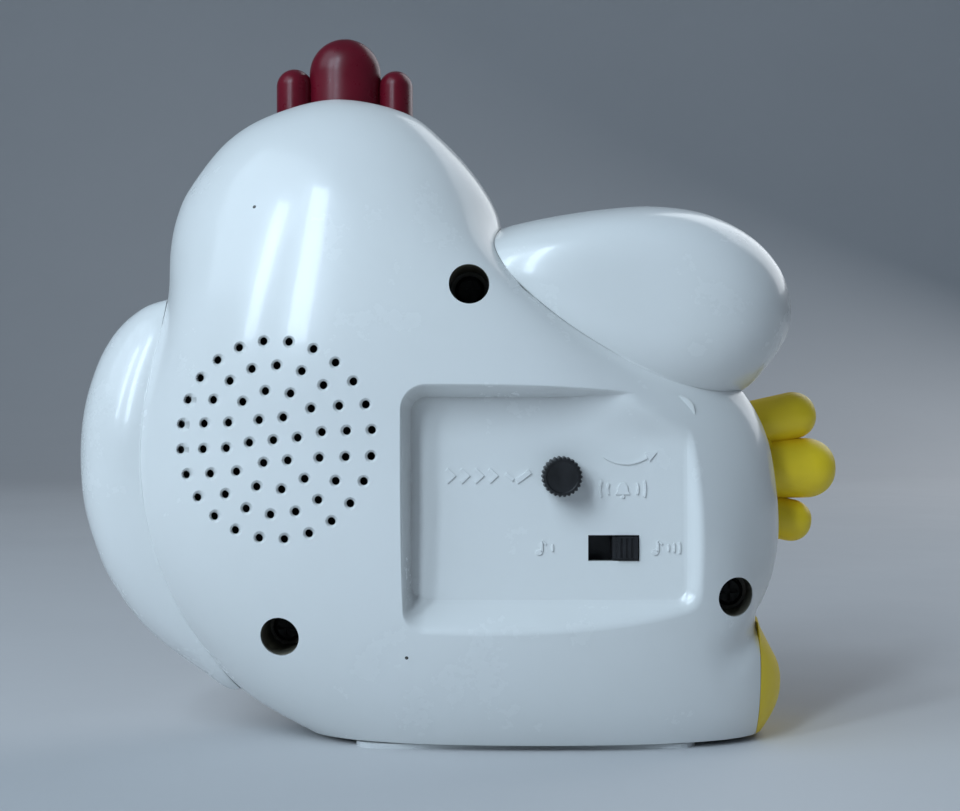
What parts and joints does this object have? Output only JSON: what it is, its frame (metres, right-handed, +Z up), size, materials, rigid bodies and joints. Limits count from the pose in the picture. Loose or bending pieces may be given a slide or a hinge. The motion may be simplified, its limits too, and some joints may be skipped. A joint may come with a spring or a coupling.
{
  "type": "chicken-shaped alarm clock",
  "caption": "White plastic chicken-shaped alarm clock: red comb stop button, yellow feet, speaker grille and a sunken control panel at the back, dial at the front.",
  "frame": {"origin": "centre of the bounding box at the bottom: the clock stands on z = 0", "axes": "+Z up; the dial looks towards -Y and the control panel towards +Y; +X is the side of the head"},
  "size_m": [0.1674, 0.0734, 0.1543],
  "materials": {
    "shell_white": "glossy moulded",
    "comb_red": "glossy moulded",
    "foot_yellow": "satin moulded",
    "beak_orange": "satin moulded",
    "eye_black": "glossy",
    "bezel_yellow": "glossy moulded",
    "lens_clear": "clear",
    "dial_card": "printed",
    "hand_black": "painted",
    "hand_red": "painted",
    "control_black": "fine texture",
    "cone_paper": "pressed paper",
    "base_grey": "matte",
    "inner_plastic": "moulded",
    "gear_plastic": "moulded",
    "board_green": "lacquered",
    "cell_jacket": "wrapped",
    "steel": "plated"
  },
  "bodies": {
    "case": {"rear_cover": "shell_white", "control_panel": "shell_white", "front_shell": "shell_white", "left_wing": "shell_white", "right_wing": "shell_white", "wattle": "comb_red", "upper_foot": "foot_yellow", "lower_foot": "foot_yellow", "beak": "beak_orange", "eye_left": "eye_black", "eye_right": "eye_black", "bezel": "bezel_yellow", "lens": "lens_clear", "dial": "dial_card", "switch_body": "control_black", "stop_switch": "control_black", "speaker_frame": "control_black", "speaker_cone": "cone_paper", "base_pad": "base_grey", "movement_case": "inner_plastic", "movement_plate": "inner_plastic", "battery_tray": "inner_plastic", "sound_board": "board_green", "battery_rear": "cell_jacket", "battery_front": "cell_jacket", "case_screw_1": "steel", "case_screw_2": "steel", "case_screw_3": "steel", "comb_spring": "steel", "speaker_magnet": "steel", "contact_bridge": "steel", "contact_rear": "steel", "contact_front": "steel"},
    "comb_button": {"comb": "comb_red"},
    "door": {"battery_door": "base_grey"},
    "slider": {"switch_slider": "control_black"},
    "yoke": {"setting_yoke": "inner_plastic"},
    "knob": {"setting_knob": "control_black", "knob_stem": "inner_plastic"},
    "alarm": {"alarm_hand": "hand_red", "alarm_wheel": "gear_plastic"},
    "hour": {"hour_hand": "hand_black", "hour_wheel": "gear_plastic"},
    "minute": {"minute_hand": "hand_black", "cannon_pinion": "gear_plastic"},
    "motion": {"minute_wheel": "gear_plastic"},
    "second": {"second_hand": "hand_red", "second_wheel": "gear_plastic"}
  },
  "joints": [
    {"name": "comb_press", "type": "slide", "parent": "case", "child": "comb_button", "axis": [0, 0, -1], "range_m": [0, 0.003], "stiffness_N_per_m": 200, "springref_m": -0.002, "deforming": ["comb_spring"]},
    {"name": "battery_door_off", "type": "slide", "parent": "case", "child": "door", "axis": [0, 0, -1], "range_m": [0, 0.012]},
    {"name": "sound_switch", "type": "slide", "parent": "case", "child": "slider", "axis": [1, 0, 0], "range_m": [0, 0.0046]},
    {"name": "knob_pull", "type": "slide", "parent": "case", "child": "yoke", "axis": [0, 1, 0], "range_m": [0, 0.0025]},
    {"name": "knob_turn", "type": "hinge", "parent": "yoke", "child": "knob", "pos_m": [-0.01996, 0.02803, 0.0576], "axis": [0, 1, 0], "continuous": true},
    {"name": "alarm_turn", "type": "hinge", "parent": "case", "child": "alarm", "pos_m": [-0.00126, -0.01897, 0.05325], "axis": [0, 1, 0], "continuous": true},
    {"name": "minute_turn", "type": "hinge", "parent": "case", "child": "minute", "pos_m": [-0.00126, -0.02197, 0.05325], "axis": [0, 1, 0], "continuous": true},
    {"name": "motion_turn", "type": "hinge", "parent": "case", "child": "motion", "pos_m": [-0.00126, -0.00897, 0.04725], "axis": [0, 1, 0], "continuous": true},
    {"name": "hour_turn", "type": "hinge", "parent": "case", "child": "hour", "pos_m": [-0.00126, -0.01997, 0.05325], "axis": [0, 1, 0], "continuous": true},
    {"name": "second_turn", "type": "hinge", "parent": "case", "child": "second", "pos_m": [-0.00126, -0.02327, 0.05325], "axis": [0, 1, 0], "continuous": true}
  ],
  "couplings": [
    {"joint": "alarm_turn", "follows": "knob_turn", "ratio": -0.23077},
    {"joint": "motion_turn", "follows": "minute_turn", "ratio": -0.33333},
    {"joint": "hour_turn", "follows": "minute_turn", "ratio": 0.083333}
  ]
}
